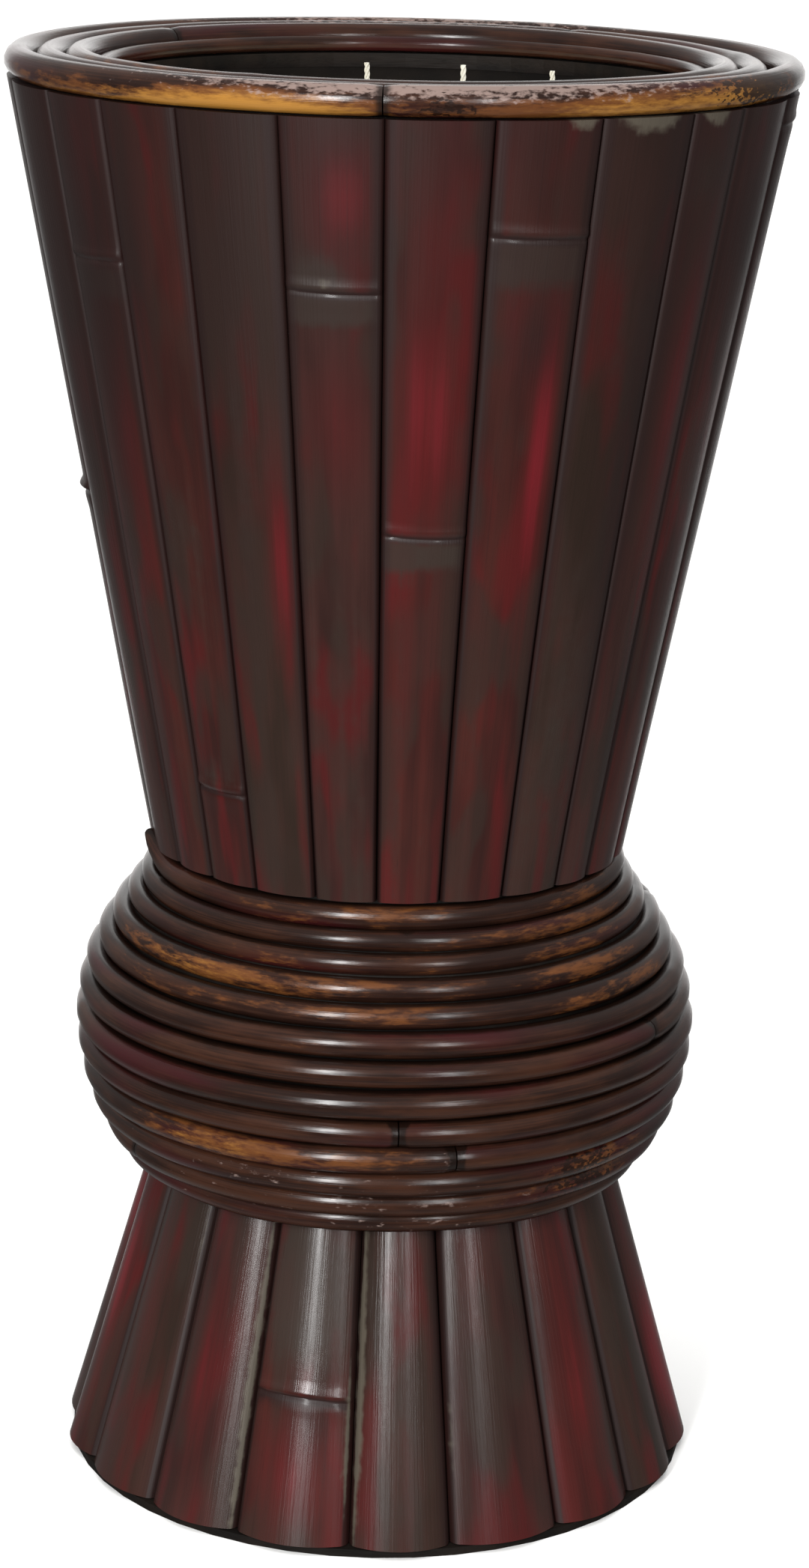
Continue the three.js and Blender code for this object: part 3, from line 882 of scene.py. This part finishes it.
# %% [markdown]
# ## The rim's four canes
# Three thick canes lie side by side on the rim and a thin one lines the mouth.  Their
# boxes in the CAD give the radius, the thickness and the height of each.  At the back
# right the inner canes draw in a little, which leaves a dark opening behind the outer one.

# %% Rim canes
RIM_WAVER = 0.15
rim = {
    "rim_hoop_outer": dict(joint=-2.4, pull=(110, 30, 0.5, 0.02), marks=[
        ("worn", -20, 19, -60, 1.2), ("worn", 28, 15, -50, 0.75), ("worn", 56, 16, -20, 0.85),
        ("worn", -58, 20, -70, 0.6), ("burnt", 60, 14, 20, 1.0), ("burnt", 6, 7, -20, 0.7),
        # The pale mark on top of the outer cane at the front (turn 6) is a painted reflection.
        ("pale", 178, 44, 75, 0.62), ("burnt", 172, 50, 60, 0.5), ("pale", 6, 44, 88, 0.74),
        ("worn", 180, 60, 20, 0.5)]),
    "rim_hoop_second": dict(joint=150, pull=(110, 30, -2.1, 0.12), marks=[
        ("worn", 56, 22, 60, 0.55), ("pale", 180, 44, 80, 0.5), ("pale", 84, 14, 80, 0.4)]),
    "rim_hoop_third": dict(joint=-130, pull=(110, 30, -1.8, 0.12), marks=[
        ("worn", -50, 30, 60, 0.4), ("pale", 88, 14, 80, 0.4), ("dark", 170, 60, 60, 0.4)]),
    "rim_lip_cane": dict(joint=60, pull=(110, 30, -1.0, 0.1), marks=[("dark", 180, 80, 30, 0.5)]),
}
for index, (node, facts) in enumerate(rim.items()):
    low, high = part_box(node)
    cane = high.z - low.z
    height = (low.z + high.z) / 2
    shape = bent_cane(high.x - cane / 2, cane, height, seed=index + 1, waver=RIM_WAVER, **facts)
    place_piece(shape, node.replace("hoop", "cane"), stained_cane, "vessel", [node])
print("rim canes:", sorted(rim))

# %% [markdown]
# ## The waist
# Thirteen hoops lie one on the next down a bulging curve.  The CAD keeps them as one
# ribbed sleeve, and here each becomes a cane of its own.  Their middles follow an arc
# through the neck and the ankle, except that the bulge sags: the top hoops sit up to
# 3.8 mm further in than the arc and the lower ones up to 1.4 mm further out.  Natural
# canes differ in thickness, so each takes a share of the arc that suits it.

# %% Waist sizes and marks
NECK = Vector((65.55, 176.5)) * MM
ANKLE = Vector((70.45, 92.0)) * MM
BULGE = 15.8 * MM
SAG_IN = 3.8
SAG_OUT = 1.4
SAG_RISE = 0.36
CANE_FIT = 0.945
WAIST_WAVER = 0.55
# The share of painted shade along the top and bottom of each waist cane.
WAIST_GAP_SHADE = 0.85
CUT_END_RISE = 6.5
WAIST_JOINTS = [-81, 140, -150, 100, 175, -100, 60, -170, 3.3, 14, 130, -60, 160]
cane_shares = [1.0, 0.84, 0.85, 0.95, 0.95, 1.03, 1.03, 1.14, 1.06, 1.09, 1.05, 1.03, 1.0]
waist_marks = {
    1: [("worn", -5, 45, 0, 0.4), ("worn", 60, 20, 30, 0.3)],
    2: [("worn", 0, 50, 0, 0.3), ("worn", 50, 22, 0, 0.3)],
    3: [("worn", 0, 50, 0, 0.3), ("worn", 48, 18, 0, 0.35)],
    4: [("worn", -45, 26, 0, 0.45), ("worn", 0, 60, 0, 0.4), ("worn", 46, 16, 0, 0.3)],
    5: [("worn", -10, 24, 20, 0.4), ("worn", 50, 20, 0, 0.6), ("worn", -50, 20, 0, 0.3)],
    6: [("worn", 0, 40, 0, 0.2)],
    9: [("dark", 3.3, 0.6, 0, 0.3)],
    10: [("worn", -32, 22, 0, 0.7), ("worn", 6, 10, 0, 0.35), ("dark", 10.7, 0.4, 0, 0.6),
         ("dark", 14, 0.4, 0, 0.6), ("pale", 12.4, 1.2, 0, 0.5)],
    11: [("worn", 45, 16, 0, 0.55), ("burnt", 42, 12, 0, 0.8), ("pale", -20, 50, 10, 0.3)],
    12: [("burnt", 45, 14, 0, 0.8), ("worn", 42, 18, 0, 0.45), ("pale", 0, 60, 10, 0.3)],
    13: [("pale", 0, 60, 10, 0.3)],
}
print("marks on", len(waist_marks), "of", len(cane_shares), "waist canes")

# %% [markdown]
# ## The waist canes along their arc
# An arc through two points with a known bulge has one radius and one centre.  Walking
# down it by half of one cane and half of the next puts each hoop against its neighbour.

# %% Build the waist canes
chord = (NECK - ANKLE).length
arc_radius = (chord * chord / 4 + BULGE * BULGE) / (2 * BULGE)
half_arc = math.asin(chord / 2 / arc_radius)
lean = math.atan2(ANKLE.x - NECK.x, NECK.y - ANKLE.y)
centre = (NECK + ANKLE) / 2 - Vector((math.cos(lean), math.sin(lean))) * (arc_radius - BULGE)
pitches = [(a + b) / 2 for a, b in zip(cane_shares, cane_shares[1:])]
whole = sum(pitches)
along = 0.0
for index, (share, joint) in enumerate(zip(cane_shares, WAIST_JOINTS)):
    number = index + 1
    down = along / whole
    facing = lean + half_arc * (1 - 2 * down)
    middle = centre + Vector((math.cos(facing), math.sin(facing))) * arc_radius
    fuller = (SAG_OUT * bell(down - 0.85, 0.16) - SAG_IN * bell(down - 0.14, 0.19)) * MM
    middle += Vector((fuller, SAG_RISE * fuller))
    cane = 2 * half_arc * arc_radius / whole * share * CANE_FIT
    shape = bent_cane(
        middle.x, cane, middle.y, joint=joint, seed=10 + number, marks=waist_marks.get(number, []),
        waver=WAIST_WAVER, groove=WAIST_GAP_SHADE, cut_end=CUT_END_RISE if number == 1 else 0.0)
    place_piece(shape, f"waist_cane_{number:02d}", stained_cane, "vessel", ["waist_cane_winding"])
    if index < len(pitches):
        along += pitches[index]
print("waist canes:", len(cane_shares), "on an arc of", round(2 * half_arc * arc_radius / MM, 1), "mm")

# %% [markdown]
# ## Dark boards
# The rim board, the shelf, the turned core and the base are plain stained timber and
# mostly hidden.  Their near-black is darker than the stain and is partly painted shade,
# where the rim board's inner edge shows in the mouth.  Their CAD shapes are right, so
# they stay and only get a finish, which reads Object coordinates because the CAD nodes
# carry no unbent place of their own.

# %% Board finish
def board_finish():
    finish = Finish("dark_board")
    place = finish.object_place()
    ring = finish.grain(place, (14, 160, 160), detail=4)
    pore = finish.grain(place, (120, 1500, 1500), detail=3)
    # Near-black, partly painted shade for the rim board's edge inside the mouth.
    colour = finish.mix(ring.between(0.35, 0.65), paint("#0c0907"), paint("#17110d"))
    colour = finish.mix(pore.between(0.55, 0.75) * 0.5, colour, paint("#060403"))
    return finish.surface({
        "Base Color": colour,
        "Roughness": 0.55 + pore * 0.2,
        "Specular IOR Level": 0.15,
        "Normal": finish.bump(ring * 0.4 + pore * 0.6, 0.2 * MM),
    })


dark_board = board_finish()
for node in ("rim_board", "candle_shelf", "waist_core", "base_board"):
    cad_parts[node].data.materials[0] = dark_board
print("boards finished")

# %% [markdown]
# ## Turned pieces
# The tin and the wax are round, so a few points of outline spun once round the axis make
# each of them.  The full spin merges its last step with its first, and the points on the
# axis are merged too.

# %% Spin an outline
TURN_STEPS = 96


def spun(outline):
    """A solid from [radius, height] points in mm, first and last of them on the axis."""
    shape = bmesh.new()
    points = [shape.verts.new((radius * MM, 0, height * MM)) for radius, height in outline]
    for first, second in zip(points, points[1:]):
        shape.edges.new((first, second))
    bmesh.ops.spin(shape, geom=all_of(shape), cent=(0, 0, 0), axis=(0, 0, 1), angle=2 * math.pi,
                   steps=TURN_STEPS, use_merge=True)
    bmesh.ops.remove_doubles(shape, verts=shape.verts, dist=0.005 * MM)
    bmesh.ops.recalc_face_normals(shape, faces=shape.faces)
    return shape


# %% [markdown]
# ## The tin
# A thin tin with a rolled bead, painted in a warm near-black, which soot and wax have
# dulled.  The near-black is darker than any paint and is partly painted shade, for the
# dark inside the mouth.  The outline follows the CAD tin's own box, and only the bead is
# new: a small round roll where the CAD has a square one.

# %% Tin
def tin_finish():
    finish = Finish("dark_tin")
    place = finish.object_place()
    cloud = finish.grain(place, (35, 35, 60), detail=4)
    speck = finish.grain(place, (900, 900, 900), detail=3)
    # The near-black is partly painted shade, for the dark inside the mouth.
    colour = finish.mix(cloud.between(0.35, 0.7), paint("#0a0807"), paint("#15110e"))
    colour = finish.mix(speck.between(0.62, 0.75) * 0.4, colour, paint("#221d18"))
    return finish.surface({
        "Base Color": colour,
        "Roughness": 0.55 + cloud * 0.2,
        "Specular IOR Level": 0.06,
        "Normal": finish.bump(speck, 0.05 * MM),
    })


tin_low, tin_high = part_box("candle_tin")
bead_radius = tin_high.x / MM
tin_top = tin_high.z / MM
tin_floor = tin_low.z / MM
bead = 1.1
bead_roll = []
for degrees in range(-135, 181, 35):
    turn = math.radians(degrees)
    roll_out = bead_radius - bead + bead * math.cos(turn)
    bead_roll.append((roll_out, tin_top - bead + bead * math.sin(turn)))
wall_top = bead_radius - 2 * bead
wall_foot = wall_top - 3.5
outside = [
    (0, tin_floor + 1.2), (wall_foot - 14, tin_floor + 1.2), (wall_foot - 12, tin_floor),
    (wall_foot - 1, tin_floor), (wall_foot, tin_floor + 1),
]
inside = [
    (wall_top - 0.8, tin_top - 2.5), (wall_foot - 0.9, tin_floor + 2.2),
    (wall_foot - 2, tin_floor + 1.3), (0, tin_floor + 1.9),
]
tin_shape = spun([*outside, *bead_roll, *inside])
place_piece(tin_shape, "tin_shell", tin_finish(), "candle", ["candle_tin"])
print("tin bead radius:", round(bead_radius, 1), "mm")

# %% [markdown]
# ## The wax
# Poured wax climbs a little where it meets the tin and each wick, and sinks between them
# as it cools.  The flat top of a spun disc is given rings of points and lifted by bell
# curves round those places.

# %% Wax
def wax_finish():
    finish = Finish("cream_wax")
    place = finish.object_place()
    cloud = finish.grain(place, (28, 28, 28), detail=4)
    pit = finish.grain(place, (420, 420, 420), detail=3)
    colour = finish.mix(cloud, paint("#e6dcc0"), paint("#efe7d2"))
    colour = finish.mix(pit.between(0.66, 0.8) * 0.4, colour, paint("#cdbf9c"))
    return finish.surface({
        "Base Color": colour,
        "Roughness": 0.4 + cloud * 0.2,
        "Subsurface Weight": 0.25,
        "Subsurface Radius": (0.006, 0.004, 0.0025),
        "Subsurface Scale": 1.0,
        "Normal": finish.bump(cloud * 0.8 + pit * 0.3, 0.3 * MM),
    })


MOST_CLIMB = 0.6
WAX_RINGS = 34
wax_low, wax_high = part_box("candle_wax")
wax_radius = wax_high.x / MM
wax_floor = wax_low.z / MM + 0.4
wax_level = wax_high.z / MM - MOST_CLIMB
wicks = {f"wick_{number}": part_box(f"wick_{number}") for number in (1, 2, 3)}
rings = [(wax_radius * (1 - step / WAX_RINGS), wax_level) for step in range(1, WAX_RINGS)]
wax_shape = spun([
    (0, wax_floor), (wax_radius - 4.2, wax_floor), (wax_radius - 0.2, wax_level - 0.4),
    (wax_radius - 0.1, wax_level), *rings, (0, wax_level),
])
for vert in wax_shape.verts:
    if vert.co.z > (wax_level - 0.2) * MM:
        edge = (wax_radius * MM - math.hypot(vert.co.x, vert.co.y)) / MM
        lift = MOST_CLIMB * math.exp(-edge / 1.6) - 0.25 * bell(edge - 30, 18)
        for low, high in wicks.values():
            lift += 0.7 * bell((vert.co.xy - ((low + high) / 2).xy).length / MM, 4.5)
        vert.co.z += min(lift, MOST_CLIMB) * MM
place_piece(wax_shape, "poured_wax", wax_finish(), "candle", ["candle_wax"])
print("wax stands", round(tin_top - wax_level, 1), "mm below the bead")

# %% [markdown]
# ## The wicks
# A wick is three cotton strands twisted together.  Spin can also climb as it turns, so a
# small circle set off the axis and spun with a rise draws one strand, and two copies a
# third of a turn round complete the cord.  Above the wax the cord is then sheared so that
# it leans, as dipped wicks do, and curls a little.  Each wick has a lean to the right and
# to the back, and so many mm more than the CAD's length.

# %% Wicks
def wick_finish():
    finish = Finish("waxed_cotton")
    place = finish.object_place()
    thread = finish.grain(place, (5200, 5200, 2100), detail=3)
    tint = finish.grain(place, (260, 260, 120), detail=2)
    colour = finish.mix(tint.between(0.3, 0.7), paint("#c9c7bc"), paint("#e4e1d4"))
    colour = finish.mix(thread.between(0.5, 0.75) * 0.5, colour, paint("#a39f90"))
    return finish.surface({
        "Base Color": colour,
        "Roughness": 0.75 + thread * 0.2,
        "Normal": finish.bump(thread, 0.12 * MM),
    })


STRAND = 0.38 * MM
TWIST_PITCH = 5.5 * MM
STEPS_PER_TURN = 12
CURL = 0.25 * MM
waxed_cotton = wick_finish()


def twisted_cord(length):
    """Three strands that climb round one another on the Z axis."""
    cord = bmesh.new()
    made = bmesh.ops.create_circle(cord, cap_ends=True, radius=STRAND, segments=8)
    bmesh.ops.translate(cord, vec=(STRAND * 1.05, 0, 0), verts=made["verts"])
    turns = length / TWIST_PITCH
    steps = int(turns * STEPS_PER_TURN)
    bmesh.ops.spin(cord, geom=all_of(cord), cent=(0, 0, 0), axis=(0, 0, 1), dvec=(0, 0, length / steps),
                   angle=2 * math.pi * turns, steps=steps, use_merge=False)
    strand = all_of(cord)
    for third in (1, 2):
        copied = bmesh.ops.duplicate(cord, geom=strand)["geom"]
        points = [part for part in copied if isinstance(part, bmesh.types.BMVert)]
        around = Matrix.Rotation(third * 2 * math.pi / 3, 3, "Z")
        bmesh.ops.rotate(cord, cent=(0, 0, 0), matrix=around, verts=points)
    return cord


wick_leans = {"wick_1": (0.035, 0.01, 2.4), "wick_2": (-0.012, 0.02, -2.6), "wick_3": (0.01, -0.01, -1.4)}
for node, (low, high) in wicks.items():
    lean_x, lean_y, taller = wick_leans[node]
    middle = (low + high) / 2
    cord = twisted_cord(high.z - low.z + taller * MM)
    wax_line = wax_level * MM - low.z
    for vert in cord.verts:
        free = max(0.0, vert.co.z - wax_line)
        curl = CURL * math.sin(free * 180)
        vert.co += Vector((middle.x + lean_x * free + curl, middle.y + lean_y * free, low.z))
    bmesh.ops.recalc_face_normals(cord, faces=cord.faces)
    place_piece(cord, node.replace("wick", "twisted_wick"), waxed_cotton, "candle", [node])
print("wicks:", sorted(wicks))

# %% [markdown]
# ## The wick tabs
# Each wick is crimped into a small steel tab under the wax.  The CAD shape is right and
# gets a brushed steel with a trace of wax film.

# %% Tabs
def steel_finish():
    finish = Finish("tab_steel")
    place = finish.object_place()
    brushed = finish.grain(place, (60, 2200, 900), detail=3)
    film = finish.grain(place, (180, 180, 180), detail=3)
    colour = finish.mix(film.between(0.4, 0.7), paint("#b4b6b8"), paint("#8f8c84"))
    return finish.surface({
        "Base Color": colour,
        "Metallic": 1.0,
        "Roughness": 0.28 + brushed * 0.15 + film * 0.1,
        "Normal": finish.bump(brushed, 0.03 * MM),
    })


tab_steel = steel_finish()
for number in (1, 2, 3):
    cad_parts[f"wick_tab_{number}"].data.materials[0] = tab_steel
print("tabs finished")
